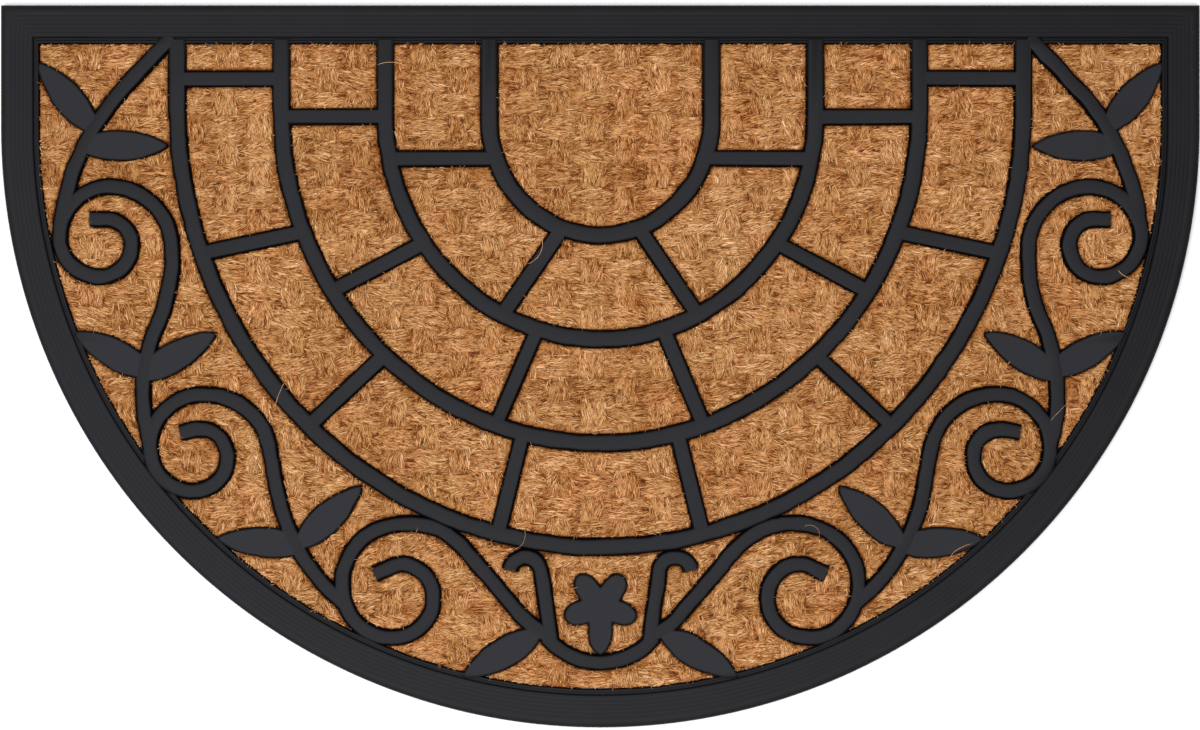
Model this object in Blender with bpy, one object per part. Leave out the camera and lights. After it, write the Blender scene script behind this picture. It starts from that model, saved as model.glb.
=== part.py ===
"""Half round doormat: a moulded rubber rim and raised tracery, set into a panel of woven coir.

The mat lies flat on z = 0. Its straight edge faces +Y and its round edge faces -Y.
All lengths below are in millimetres, and point tables use them too. MM turns them into metres.
The tracery is drawn in side coordinates: u runs outwards from the middle line and v is Y.
"""

import math

import bmesh
import bpy

MM = 0.001
WELD = 0.001

# Outline of the whole mat
WIDTH = 750.0
DEPTH = 452.0
SIDE = 77.0
THICKNESS = 9.0
ROUND_RADIUS = WIDTH / 2
STRAIGHT_Y = DEPTH / 2
ROUND_Y = STRAIGHT_Y - SIDE
ROUND_STEPS = 44

# Rim, measured inwards from the outer edge
RIM_WIDTH = 24.0
RIM_WALL = 6.4
RIM_SHOULDER = 2.6
RIB_FIRST = 5.2
RIB_PITCH = 4.4
RIB_COUNT = 3
RIB_DEPTH = 0.5
RIM_TOP_END = 20.0
GROOVE_DEPTH = 1.8
GROOVE_START = 20.7
GROOVE_END = 21.7
LIP_START = 22.3
LIP_HEIGHT = 8.5

# Coir panel
COIR_HEIGHT = 8.0
CLEARANCE = 0.32
CUTTER_TOP = 12.0

# Raised bars: widths, upper chamfer, height of their underside, and how far they run into the rim
ARCH_WIDTH = 11.0
DIVIDER_WIDTH = 10.0
VINE_WIDTH = 10.0
BAR_CHAMFER = 1.6
BAR_BASE = 4.0
ROOT = 2.0

# No two kinds of bar share a plane: each kind stands a hair lower than the one before
STEP_DOWN = 0.1
ARCH_LAYER = 0
DIVIDER_LAYER = 1
VINE_LAYER = 2
HOOK_LAYER = 3
LEAF_LAYER = 4

# Arches of the brick fan: half width and lowest point of the first, and the step to each next one.
# Each is a half ellipse, a little deeper than it is wide, under two upright legs
ARCH_FIRST = 69.5
ARCH_BOTTOM = 82.0
ARCH_PITCH = 65.0
ARCH_COUNT = 4
ARCH_DEPTH_RATIO = 1.045

# Where the sloping dividers aim
FAN_Y = 152.0

# Level dividers: (band between two arches, v). They end a hair inside the middle of each arch
LEVEL_INSET = 1.0
LEVEL_DIVIDERS = (
    (0, 130),
    (1, 156),
    (2, 180),
)

# Sloping dividers: (band, angle from straight down at the inner arch, the same at the outer arch)
SLOPING_DIVIDERS = (
    (0, 20, 27),
    (1, 17, 19),
    (1, 56, 58),
    (2, 14, 14),
    (2, 43, 44),
    (2, 70, 72),
)

# Scrolls, alike on both sides. A scroll opens from its free end, and every quarter turn is wider
# than the one before by the same growth
SCROLL_LEAD = 10.0
SCROLL_FIRST = 16.0
SCROLL_GROWTH = 1.25

# Each scroll: (eye u, eye v, heading in degrees where it enters the eye, size, how far it turns,
# moves of its stem). A move is (radius, turn in degrees), or (length, 0) for a straight
SCROLLS = (
    (309, 76, 180, 1.0, 450, ((5, 0), (100, 24), (110, -36), (10, 0))),
    (250, -56, 170, 1.05, 450, ((25, 0), (120, -38), (6, 0))),
    (124, -143, 155, 1.2, 435, ((50, 0), (60, -20), (4, 0))),
)

# Vine that comes down from the straight side: (start u, start v, heading, moves)
TOP_VINE = (268, 206, -47, ((44, 0), (150, -38)))

# Leaves, alike on both sides: (base u, base v, heading in degrees)
LEAF_LENGTH = 52.0
LEAF_WIDTH = 19.5
LEAF_STEPS = 5
LEAVES = (
    (318, 150, 50),
    (322, 138, 180),
    (283, -3, 28),
    (285, -5, 150),
    (188, -112, 5),
    (187, -110, 137),
    (41, -168, -30),
)

# Cup under the flower: a bowl arc and two arms that curl outwards
CUP_RADIUS = 44.0
CUP_Y = -141.0
CUP_HALF_ANGLE = 50
CUP_STEPS = 6
ARM_FOOT = (31.0, -171.0)
ARM_SHOULDER = (37.0, -128.0)
ARM_CURL = (10.0, -160)

# Flower: five even lobes with notches between them, the lowest drawn out to a point
FLOWER_Y = -150.0
FLOWER_LOBES = 5
FLOWER_NOTCH = 13.0
FLOWER_REACH = 24.0
FLOWER_ROUNDING = 1.25
FLOWER_TAIL = 6.5
FLOWER_TAIL_SPREAD = 30
FLOWER_STEPS = 40

# Longest turn and longest run that one straight piece of a bar may span
TURN_STEP = 20.0
RUN_STEP = 20.0


def clear_scene():
    for obj in list(bpy.data.objects):
        bpy.data.objects.remove(obj, do_unlink=True)


def new_collection(name, parent):
    collection = bpy.data.collections.new(name)
    parent.children.link(collection)
    return collection


def material(name, color, roughness):
    made = bpy.data.materials.new(name)
    made.use_nodes = True
    shader = made.node_tree.nodes["Principled BSDF"]
    shader.inputs["Base Color"].default_value = (*color, 1)
    shader.inputs["Roughness"].default_value = roughness
    shader.inputs["Metallic"].default_value = 0
    return made


def arc(center, radius, start, end, steps):
    """Points of an arc, with its angles in degrees."""
    angles = [math.radians(start + (end - start) * i / steps) for i in range(steps + 1)]
    return [(center[0] + radius * math.cos(a), center[1] + radius * math.sin(a)) for a in angles]


def trail(start, heading, moves):
    """Points along a chain of tangent arcs and straights."""
    x, y = start
    points = [start]
    for size, turn in moves:
        length = abs(math.radians(turn)) * size if turn else size
        steps = max(1, math.ceil(abs(turn) / TURN_STEP), math.ceil(length / RUN_STEP) if turn else 1)
        # The chord of a piece leaves at half its turn, and is a little shorter than its arc
        half = math.radians(turn / steps / 2)
        chord = 2 * size * math.sin(abs(half)) if turn else size / steps
        for _ in range(steps):
            along = math.radians(heading) + half
            x += chord * math.cos(along)
            y += chord * math.sin(along)
            heading += turn / steps
            points.append((x, y))
    return points


def mat_outline(inset):
    """The mat's outline, moved inwards by inset."""
    radius = ROUND_RADIUS - inset
    bottom = arc((0, ROUND_Y), radius, 180, 360, ROUND_STEPS)
    return bottom + [(radius, STRAIGHT_Y - inset), (-radius, STRAIGHT_Y - inset)]


def to_side(side, points):
    """Side coordinates to the mat's own: side is -1 for the left and 1 for the right."""
    return [(side * u, v) for u, v in points]


def arch_half_width(index):
    return ARCH_FIRST + ARCH_PITCH * index


def arch_path(index):
    half = arch_half_width(index)
    center = ARCH_BOTTOM - ARCH_PITCH * index + half * ARCH_DEPTH_RATIO
    leg_top = STRAIGHT_Y - RIM_WIDTH + ROOT
    steps = math.ceil(math.pi * half / RUN_STEP)
    bow = [(x, center + y * ARCH_DEPTH_RATIO) for x, y in arc((0, 0), half, 180, 360, steps)]
    return to_side(1, [(-half, leg_top)] + bow + [(half, leg_top)])


def divider_paths():
    paths = []
    for side in (-1, 1):
        for band, v in LEVEL_DIVIDERS:
            ends = [(arch_half_width(band + i) - LEVEL_INSET, v) for i in (0, 1)]
            paths.append(to_side(side, ends))
        for band, inner, outer in SLOPING_DIVIDERS:
            ends = []
            for i, angle in ((0, inner), (1, outer)):
                reach = arch_half_width(band + i)
                turn = math.radians(angle)
                ends.append((reach * math.sin(turn), FAN_Y - reach * math.cos(turn)))
            paths.append(to_side(side, ends))
    return paths


def scroll_path(eye_u, eye_v, heading, size, turning, stem):
    """From a scroll's free end round its eye, outwards through its turns, and along its stem."""
    first = SCROLL_FIRST * size
    turn = math.radians(heading)
    start = (
        eye_u + first * math.sin(turn) - SCROLL_LEAD * math.cos(turn),
        eye_v - first * math.cos(turn) - SCROLL_LEAD * math.sin(turn),
    )
    starts = range(0, turning, 90)
    turns = [(first * SCROLL_GROWTH**i, min(90, turning - begun)) for i, begun in enumerate(starts)]
    return trail(start, heading, [(SCROLL_LEAD, 0)] + turns + list(stem))


def vine_paths():
    start_u, start_v, heading, moves = TOP_VINE
    drawn = [trail((start_u, start_v), heading, moves)]
    drawn += [scroll_path(*row) for row in SCROLLS]
    return [to_side(side, path) for side in (-1, 1) for path in drawn]


def arm_path(side):
    """One arm of the cup: up from the bowl, then curling outwards and over."""
    rise = (ARM_SHOULDER[0] - ARM_FOOT[0], ARM_SHOULDER[1] - ARM_FOOT[1])
    heading = math.degrees(math.atan2(rise[1], rise[0]))
    return to_side(side, trail(ARM_FOOT, heading, ((math.hypot(*rise), 0), ARM_CURL)))


def hook_paths():
    bowl = arc((0, CUP_Y), CUP_RADIUS, 270 - CUP_HALF_ANGLE, 270 + CUP_HALF_ANGLE, CUP_STEPS)
    return [bowl, arm_path(-1), arm_path(1)]


def leaf_outline(base, tip):
    """A lens between two points: one arc out and one arc back."""
    length = math.dist(base, tip)
    bow = LEAF_WIDTH / 2
    radius = (length**2 / 4 + bow**2) / (2 * bow)
    spread = math.degrees(math.asin(length / 2 / radius))
    along = math.degrees(math.atan2(tip[1] - base[1], tip[0] - base[0]))
    middle = ((base[0] + tip[0]) / 2, (base[1] + tip[1]) / 2)
    points = []
    for face in (along + 90, along - 90):
        drop = radius - bow
        turn = math.radians(face)
        center = (middle[0] - drop * math.cos(turn), middle[1] - drop * math.sin(turn))
        points += arc(center, radius, face + spread, face - spread, LEAF_STEPS)[:-1]
    return points


def leaf_outlines():
    outlines = []
    for side in (-1, 1):
        for u, v, heading in LEAVES:
            turn = math.radians(heading)
            tip = (u + LEAF_LENGTH * math.cos(turn), v + LEAF_LENGTH * math.sin(turn))
            outlines.append(leaf_outline(*to_side(side, ((u, v), tip))))
    return outlines


def flower_outline():
    """Clockwise from the point of the lowest lobe."""
    points = []
    for i in range(FLOWER_STEPS):
        turn = -2 * math.pi * i / FLOWER_STEPS
        lobe = abs(math.cos(FLOWER_LOBES / 2 * turn)) ** FLOWER_ROUNDING
        aside = math.degrees(math.acos(math.cos(turn)))
        tail = max(0.0, 1 - aside / FLOWER_TAIL_SPREAD)
        reach = FLOWER_NOTCH + (FLOWER_REACH - FLOWER_NOTCH) * lobe + FLOWER_TAIL * tail
        points.append((reach * math.sin(turn), FLOWER_Y - reach * math.cos(turn)))
    return points


def flat_curve(name, points, closed):
    data = bpy.data.curves.new(name, "CURVE")
    data.dimensions = "2D"
    spline = data.splines.new("POLY")
    spline.points.add(len(points) - 1)
    for point, (x, y) in zip(spline.points, points):
        point.co = (x * MM, y * MM, 0, 1)
    spline.use_cyclic_u = closed
    return bpy.data.objects.new(name, data)


def to_mesh(curve, collection):
    """The curve's solid as a closed mesh object. The curve is removed."""
    name = curve.name
    bpy.context.scene.collection.objects.link(curve)
    graph = bpy.context.evaluated_depsgraph_get()
    mesh = bpy.data.meshes.new_from_object(curve.evaluated_get(graph))
    shape = bmesh.new()
    shape.from_mesh(mesh)
    bmesh.ops.remove_doubles(shape, verts=shape.verts, dist=WELD * MM)
    bmesh.ops.recalc_face_normals(shape, faces=shape.faces)
    shape.to_mesh(mesh)
    shape.free()
    solid = bpy.data.objects.new(name, mesh)
    solid.matrix_world = curve.matrix_world
    bpy.data.objects.remove(curve)
    solid.name = name
    collection.objects.link(solid)
    return solid


def swept(name, points, closed, section, collection):
    """A section, as (across, up) points, carried along a flat path."""
    profile = flat_curve(name + "_section", section, True)
    bpy.context.scene.collection.objects.link(profile)
    path = flat_curve(name, points, closed)
    path.data.fill_mode = "NONE"
    path.data.bevel_mode = "OBJECT"
    path.data.bevel_object = profile
    path.data.use_fill_caps = not closed
    solid = to_mesh(path, collection)
    bpy.data.objects.remove(profile)
    return solid


def raised_plate(name, curve, bottom, top, chamfer, collection):
    """A filled flat outline between two heights, chamfered inside its own edge."""
    data = curve.data
    data.fill_mode = "BOTH"
    data.extrude = ((top - bottom) / 2 - chamfer) * MM
    data.bevel_depth = chamfer * MM
    data.bevel_resolution = 0
    data.offset = -chamfer * MM
    curve.location.z = (top + bottom) / 2 * MM
    curve.name = name
    return to_mesh(curve, collection)


def grown_plate(name, curve, bottom, top, grow, collection):
    """A filled flat outline between two heights, grown outwards."""
    data = curve.data
    data.fill_mode = "BOTH"
    data.extrude = (top - bottom) / 2 * MM
    data.offset = grow * MM
    curve.location.z = (top + bottom) / 2 * MM
    curve.name = name
    return to_mesh(curve, collection)


def bar_section(width, layer):
    """Half of a bar lies each side of its path. Its upper edges are chamfered."""
    half = width / 2
    base = BAR_BASE + STEP_DOWN * layer
    top = THICKNESS - STEP_DOWN * layer
    return [
        (-half, base),
        (half, base),
        (half, top - BAR_CHAMFER),
        (half - BAR_CHAMFER, top),
        (BAR_CHAMFER - half, top),
        (-half, top - BAR_CHAMFER),
    ]


def channel_section(width, layer):
    """What a bar needs in the coir: its own width and depth, and the clearance."""
    half = width / 2 + CLEARANCE
    floor = BAR_BASE + STEP_DOWN * layer - CLEARANCE
    return [(-half, floor), (half, floor), (half, CUTTER_TOP), (-half, CUTTER_TOP)]


def lengthened(points, extra):
    """The path with both of its ends drawn out."""
    ends = []
    for end, inner in ((points[0], points[1]), (points[-1], points[-2])):
        length = math.dist(end, inner)
        ends.append(tuple(a + (a - b) * extra / length for a, b in zip(end, inner)))
    return [ends[0]] + points[1:-1] + [ends[1]]


def rim_section():
    """From the outer foot up, over the ribbed top, through the groove and over the lip."""
    points = [(0, 0), (0, RIM_WALL), (RIM_SHOULDER, THICKNESS)]
    for rib in range(RIB_COUNT):
        start = RIB_FIRST + RIB_PITCH * rib
        points.append((start, THICKNESS))
        points.append((start + RIB_PITCH / 2, THICKNESS - RIB_DEPTH))
    points.append((RIB_FIRST + RIB_PITCH * RIB_COUNT, THICKNESS))
    points.append((RIM_TOP_END, THICKNESS))
    points.append((GROOVE_START, THICKNESS - GROOVE_DEPTH))
    points.append((GROOVE_END, THICKNESS - GROOVE_DEPTH))
    points.append((LIP_START, LIP_HEIGHT))
    points.append((RIM_WIDTH, LIP_HEIGHT))
    points.append((RIM_WIDTH, 0))
    return points


def bar_kinds():
    """(kind, width, layer, paths) for every sort of bar."""
    return (
        ("arch", ARCH_WIDTH, ARCH_LAYER, [arch_path(i) for i in range(ARCH_COUNT)]),
        ("divider", DIVIDER_WIDTH, DIVIDER_LAYER, divider_paths()),
        ("vine", VINE_WIDTH, VINE_LAYER, vine_paths()),
        ("hook", VINE_WIDTH, HOOK_LAYER, hook_paths()),
    )


def leaf_curves(prefix):
    outlines = leaf_outlines()
    curves = [flat_curve(f"{prefix}_leaf_{i}", outline, True) for i, outline in enumerate(outlines)]
    return curves + [flat_curve(f"{prefix}_flower", flower_outline(), True)]


def add_bars(collection):
    for kind, width, layer, paths in bar_kinds():
        for i, path in enumerate(paths):
            swept(f"bar_{kind}_{i}", path, False, bar_section(width, layer), collection)
    base = BAR_BASE + STEP_DOWN * LEAF_LAYER
    top = THICKNESS - STEP_DOWN * LEAF_LAYER
    for curve in leaf_curves("bar"):
        raised_plate(curve.name, curve, base, top, BAR_CHAMFER, collection)


def add_channels(collection):
    for kind, width, layer, paths in bar_kinds():
        for i, path in enumerate(paths):
            path = lengthened(path, CLEARANCE)
            swept(f"cut_{kind}_{i}", path, False, channel_section(width, layer), collection)
    floor = BAR_BASE + STEP_DOWN * LEAF_LAYER - CLEARANCE
    for curve in leaf_curves("cut"):
        grown_plate(curve.name, curve, floor, CUTTER_TOP, CLEARANCE, collection)


def combine(solid, operation, collection):
    """Adds or cuts every helper of a collection, and hides the helpers."""
    for helper in collection.objects:
        helper.hide_render = True
        helper.display_type = "WIRE"
    boolean = solid.modifiers.new(operation.title(), "BOOLEAN")
    boolean.operation = operation
    boolean.operand_type = "COLLECTION"
    boolean.collection = collection
    boolean.solver = "EXACT"


def make_rim(parts):
    rim = swept("rubber_moulding", mat_outline(0), True, rim_section(), parts)
    rim.data.materials.append(material("rubber", (0.032, 0.034, 0.038), 0.62))
    return rim


def make_panel(parts):
    outline = flat_curve("coir_panel", mat_outline(RIM_WIDTH + CLEARANCE), True)
    panel = grown_plate("coir_panel", outline, 0, COIR_HEIGHT, 0, parts)
    panel.data.materials.append(material("coir", (0.52, 0.30, 0.13), 0.9))
    return panel


def main():
    clear_scene()
    root = bpy.context.scene.collection
    parts = new_collection("half_round_doormat", root)
    bars = new_collection("moulded_bars", root)
    channels = new_collection("channel_cutters", root)
    moulding = make_rim(parts)
    panel = make_panel(parts)
    add_bars(bars)
    add_channels(channels)
    # The bars, leaves and flower are fused to the rim, and each presses a channel into the coir
    combine(moulding, "UNION", bars)
    combine(panel, "DIFFERENCE", channels)


main()
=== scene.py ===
"""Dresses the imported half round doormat: moulded rubber, woven coir, floor, camera and light.

Lengths below are millimetres, and MM turns them into metres. The straight edge faces +Y.
"""

import math

import bmesh
import bpy
import numpy as np
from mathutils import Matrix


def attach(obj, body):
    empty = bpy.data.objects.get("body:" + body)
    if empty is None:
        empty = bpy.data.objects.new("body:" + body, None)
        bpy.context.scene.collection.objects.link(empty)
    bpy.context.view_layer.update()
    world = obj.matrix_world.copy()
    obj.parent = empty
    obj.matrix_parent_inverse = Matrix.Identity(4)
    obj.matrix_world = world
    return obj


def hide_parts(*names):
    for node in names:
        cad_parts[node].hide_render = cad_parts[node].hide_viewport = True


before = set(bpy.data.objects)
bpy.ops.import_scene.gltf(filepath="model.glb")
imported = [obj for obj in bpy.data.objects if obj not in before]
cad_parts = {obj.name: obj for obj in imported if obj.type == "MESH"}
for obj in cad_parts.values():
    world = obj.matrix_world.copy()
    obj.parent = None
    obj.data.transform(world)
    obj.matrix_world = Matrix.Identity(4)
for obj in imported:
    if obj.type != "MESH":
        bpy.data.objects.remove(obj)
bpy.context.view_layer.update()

MM = 0.001

# Outline of the whole mat, as in the solids
WIDTH = 750.0
DEPTH = 452.0
SIDE = 77.0
THICKNESS = 9.0
ROUND_RADIUS = WIDTH / 2
STRAIGHT_Y = DEPTH / 2
ROUND_Y = STRAIGHT_Y - SIDE
ROUND_STEPS = 150
SIDE_STEPS = 6
TOP_STEPS = 60

# Rim, measured inwards from the outer edge
RIM_WIDTH = 24.0
RIB_FIRST = 6.6
RIB_PITCH = 2.55
RIB_COUNT = 6
RIB_DEPTH = 0.16

# Raised bars
ARCH_WIDTH = 11.6
DIVIDER_WIDTH = 10.8
VINE_WIDTH = 10.7
BAR_BASE = 3.0
ROOT = 2.0
STEP_DOWN = 0.06
SHOULDER = ((0.0, 3.2), (0.35, 2.0), (0.75, 1.1), (1.2, 0.5), (1.75, 0.17), (2.5, 0.03))
WARP_SIZE = 0.42

# How light the rubber is: on the rim, where painted shade darkens it from lower left to upper right, on bars, and
# on the ornament
RIM_TONES = (0.32, 0.15)
BAR_TONE = 0.34
ORNAMENT_TONE = 0.48
GLOSS = 0.1

# Arches, dividers, scrolls, leaves, cup and flower, as in the solids and alike on both sides
ARCH_FIRST = 69.5
ARCH_BOTTOM = 82.0
ARCH_PITCH = 65.0
ARCH_COUNT = 4
ARCH_DEPTH_RATIO = 1.045
FAN_Y = 152.0
LEVEL_INSET = 1.0
LEVEL_DIVIDERS = (
    (0, 130),
    (1, 156),
    (2, 180),
)
SLOPING_DIVIDERS = (
    (0, 20, 27),
    (1, 17, 19),
    (1, 56, 58),
    (2, 14, 14),
    (2, 43, 44),
    (2, 70, 72),
)
SCROLL_LEAD = 10.0
SCROLL_FIRST = 16.0
SCROLL_GROWTH = 1.25
SCROLLS = (
    # eye u, eye v, heading where it enters the eye, size, how far it turns, moves of its stem
    (309, 76, 180, 1.0, 450, ((5, 0), (100, 24), (110, -36), (10, 0))),
    (250, -56, 170, 1.05, 450, ((25, 0), (120, -38), (6, 0))),
    (124, -143, 155, 1.2, 435, ((50, 0), (60, -20), (4, 0))),
)
TOP_VINE = (268, 206, -47, ((44, 0), (150, -38)))
LEAF_LENGTH = 52.0
LEAF_WIDTH = 19.5
LEAF_FULLNESS = 0.66
LEAF_SKEW = 0.86
LEAF_ROOT = 5.0
LEAF_STEPS = 20
LEAVES = (
    # base u, base v, heading
    (318, 150, 50),
    (322, 138, 180),
    (283, -3, 28),
    (285, -5, 150),
    (188, -112, 5),
    (187, -110, 137),
    (41, -168, -30),
)
CUP_RADIUS = 44.0
CUP_Y = -141.0
CUP_HALF_ANGLE = 50
CUP_STEPS = 20
ARM_FOOT = (31.0, -171.0)
ARM_SHOULDER = (37.0, -128.0)
ARM_CURL = (10.0, -160)
FLOWER_Y = -150.0
FLOWER_LOBES = 5
FLOWER_NOTCH = 13.0
FLOWER_REACH = 24.0
FLOWER_ROUNDING = 1.25
FLOWER_TAIL = 6.5
FLOWER_TAIL_SPREAD = 30
FLOWER_STEPS = 120
TURN_STEP = 7.0
RUN_STEP = 3.0
LEVEL_TOLERANCE = 0.001

# Woven coir: pitch and place of the yarn pairs, and the relief of the cloth
COIR_INSET = 24.3
COL_PITCH = 20.9
COL_X = -4.9
ROW_PITCH = 14.9
ROW_Y = 149.7
WARP_HALF = 7.7
WEFT_HALF = 7.4
CLOTH_LEVEL = 6.6
CRIMP = 0.75
CROWN = 0.8
SHEET_STEP = 1.75
CHANNEL = 3.6
GAP = 0.9
MAP_STEP = 1.0
MAP_REACH = 14.0
NOISE_TABLE = 257

# Fibres: how they lie on their yarn, and how light they are
TONE = 0.54
TONE_SPREAD = 0.1
END_SHADE = 0.08
FLANK_SHADE = 0.11
PIT_SHADE = 0.32
SPECK_SHADE = 0.26
SLANT = 0.5
TWIST = 13.0
TWIST_SPREAD = 6.0
CURL = 0.035
SINK = 0.4
EDGE_DIP = 0.35
FIBRE_LAYERS = (
    # name, seed, count, rings, lengths, radii, spread in degrees, lift, clear of the rubber
    ("coir_fibres_low", 31, 15500, 2, (6, 11), (0.5, 0.76), 4, (0.0, 0.25), 0.9),
    ("coir_fibres_mid", 32, 31000, 1, (4, 8), (0.42, 0.64), 6, (0.1, 0.35), 0.7),
    ("coir_fibres_top", 33, 31000, 1, (3, 6.5), (0.32, 0.52), 9, (0.2, 0.5), 0.4),
)
FUZZ_COUNT = 1400
HAIR_COUNT = 34
HAIR_RINGS = 8


# Flat geometry of the ornament

def arc(center, radius, start, end, steps):
    angles = [math.radians(start + (end - start) * i / steps) for i in range(steps + 1)]
    return [(center[0] + radius * math.cos(a), center[1] + radius * math.sin(a)) for a in angles]


def trail(start, heading, moves):
    """Points along a chain of tangent arcs and straights."""
    x, y = start
    points = [start]
    for size, turn in moves:
        length = abs(math.radians(turn)) * size if turn else size
        steps = max(1, math.ceil(abs(turn) / TURN_STEP), math.ceil(length / RUN_STEP))
        half = math.radians(turn / steps / 2)
        chord = 2 * size * math.sin(abs(half)) if turn else size / steps
        for _ in range(steps):
            along = math.radians(heading) + half
            x += chord * math.cos(along)
            y += chord * math.sin(along)
            heading += turn / steps
            points.append((x, y))
    return points


def mat_outline(inset):
    """The mat's outline moved inwards by inset, with the same number of points for any inset."""
    radius = ROUND_RADIUS - inset
    top = STRAIGHT_Y - inset
    points = arc((0, ROUND_Y), radius, 180, 360, ROUND_STEPS)
    points += [(radius, ROUND_Y + (top - ROUND_Y) * i / SIDE_STEPS) for i in range(1, SIDE_STEPS)]
    points += [(radius - 2 * radius * i / TOP_STEPS, top) for i in range(TOP_STEPS)]
    points += [(-radius, top + (ROUND_Y - top) * i / SIDE_STEPS) for i in range(SIDE_STEPS)]
    return points


def to_side(side, points):
    return [(side * u, v) for u, v in points]


def arch_half_width(index):
    return ARCH_FIRST + ARCH_PITCH * index


def arch_path(index):
    half = arch_half_width(index)
    center = ARCH_BOTTOM - ARCH_PITCH * index + half * ARCH_DEPTH_RATIO
    leg_top = STRAIGHT_Y - RIM_WIDTH + ROOT
    steps = math.ceil(math.pi * half / RUN_STEP)
    bow = [(x, center + y * ARCH_DEPTH_RATIO) for x, y in arc((0, 0), half, 180, 360, steps)]
    return [(-half, leg_top)] + bow + [(half, leg_top)]


def divider_paths():
    paths = []
    for side in (-1, 1):
        for band, v in LEVEL_DIVIDERS:
            ends = [(arch_half_width(band + i) - LEVEL_INSET, v) for i in (0, 1)]
            paths.append(to_side(side, ends))
        for band, inner, outer in SLOPING_DIVIDERS:
            ends = []
            for i, angle in ((0, inner), (1, outer)):
                reach = arch_half_width(band + i)
                turn = math.radians(angle)
                ends.append((reach * math.sin(turn), FAN_Y - reach * math.cos(turn)))
            paths.append(to_side(side, ends))
    return paths


def scroll_path(eye_u, eye_v, heading, size, turning, stem):
    """From a scroll's free end round its eye, outwards through its turns, and along its stem."""
    first = SCROLL_FIRST * size
    turn = math.radians(heading)
    start = (
        eye_u + first * math.sin(turn) - SCROLL_LEAD * math.cos(turn),
        eye_v - first * math.cos(turn) - SCROLL_LEAD * math.sin(turn),
    )
    starts = range(0, turning, 90)
    turns = [(first * SCROLL_GROWTH**i, min(90, turning - begun)) for i, begun in enumerate(starts)]
    return trail(start, heading, [(SCROLL_LEAD, 0)] + turns + list(stem))


def vine_paths():
    start_u, start_v, heading, moves = TOP_VINE
    drawn = [trail((start_u, start_v), heading, moves)]
    drawn += [scroll_path(*row) for row in SCROLLS]
    return [to_side(side, path) for side in (-1, 1) for path in drawn]


def arm_path(side):
    rise = (ARM_SHOULDER[0] - ARM_FOOT[0], ARM_SHOULDER[1] - ARM_FOOT[1])
    heading = math.degrees(math.atan2(rise[1], rise[0]))
    return to_side(side, trail(ARM_FOOT, heading, ((math.hypot(*rise), 0), ARM_CURL)))


def hook_paths():
    bowl = arc((0, CUP_Y), CUP_RADIUS, 270 - CUP_HALF_ANGLE, 270 + CUP_HALF_ANGLE, CUP_STEPS)
    return [bowl, arm_path(-1), arm_path(1)]


def leaf_outline(base, tip):
    """A full leaf with a blunt tip, its base let into the stem."""
    length = math.dist(base, tip) + LEAF_ROOT
    turn = math.atan2(tip[1] - base[1], tip[0] - base[0])
    upper = []
    for i in range(LEAF_STEPS + 1):
        share = (1 - math.cos(math.pi * i / LEAF_STEPS)) / 2
        spread = LEAF_WIDTH / 2 * abs(math.sin(math.pi * share**LEAF_SKEW)) ** LEAF_FULLNESS
        upper.append((share * length - LEAF_ROOT, spread))
    lower = [(u, -w) for u, w in reversed(upper[1:-1])]
    cos, sin = math.cos(turn), math.sin(turn)
    return [(base[0] + u * cos - w * sin, base[1] + u * sin + w * cos) for u, w in upper + lower]


def leaf_outlines():
    outlines = []
    for side in (-1, 1):
        for u, v, heading in LEAVES:
            turn = math.radians(heading)
            tip = (u + LEAF_LENGTH * math.cos(turn), v + LEAF_LENGTH * math.sin(turn))
            outlines.append(leaf_outline(*to_side(side, ((u, v), tip))))
    return outlines


def flower_outline():
    """Even lobes with notches between them, the lowest drawn out to a point."""
    points = []
    for i in range(FLOWER_STEPS):
        turn = -2 * math.pi * i / FLOWER_STEPS
        lobe = abs(math.cos(FLOWER_LOBES / 2 * turn)) ** FLOWER_ROUNDING
        aside = math.degrees(math.acos(math.cos(turn)))
        tail = max(0.0, 1 - aside / FLOWER_TAIL_SPREAD)
        reach = FLOWER_NOTCH + (FLOWER_REACH - FLOWER_NOTCH) * lobe + FLOWER_TAIL * tail
        points.append((reach * math.sin(turn), FLOWER_Y - reach * math.cos(turn)))
    return points


def bar_kinds():
    """(width, layer, paths) for every sort of bar."""
    return (
        (ARCH_WIDTH, 0, [arch_path(i) for i in range(ARCH_COUNT)]),
        (DIVIDER_WIDTH, 1, divider_paths()),
        (VINE_WIDTH, 2, vine_paths()),
        (VINE_WIDTH, 3, hook_paths()),
    )


# Meshes

def object_from(name, mesh):
    made = bpy.data.objects.new(name, mesh)
    bpy.context.scene.collection.objects.link(made)
    return made


def mesh_of_triangles(name, points, triangles, smooth=True):
    """A mesh from arrays: points in millimetres, and three point numbers a face."""
    mesh = bpy.data.meshes.new(name)
    mesh.vertices.add(len(points))
    mesh.vertices.foreach_set("co", (points * MM).astype(np.float32).ravel())
    mesh.loops.add(triangles.size)
    mesh.loops.foreach_set("vertex_index", triangles.astype(np.int32).ravel())
    mesh.polygons.add(len(triangles))
    mesh.polygons.foreach_set("loop_start", np.arange(0, triangles.size, 3, dtype=np.int32))
    mesh.update(calc_edges=True)
    mesh.polygons.foreach_set("use_smooth", np.full(len(triangles), smooth))
    return mesh


def add_values(mesh, name, values):
    layer = mesh.attributes.new(name, "FLOAT", "POINT")
    layer.data.foreach_set("value", values.astype(np.float32))


def flat_curve(name, points, closed):
    data = bpy.data.curves.new(name, "CURVE")
    data.dimensions = "2D"
    spline = data.splines.new("POLY")
    spline.points.add(len(points) - 1)
    for point, (x, y) in zip(spline.points, points):
        point.co = (x * MM, y * MM, 0, 1)
    spline.use_cyclic_u = closed
    return bpy.data.objects.new(name, data)


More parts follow.
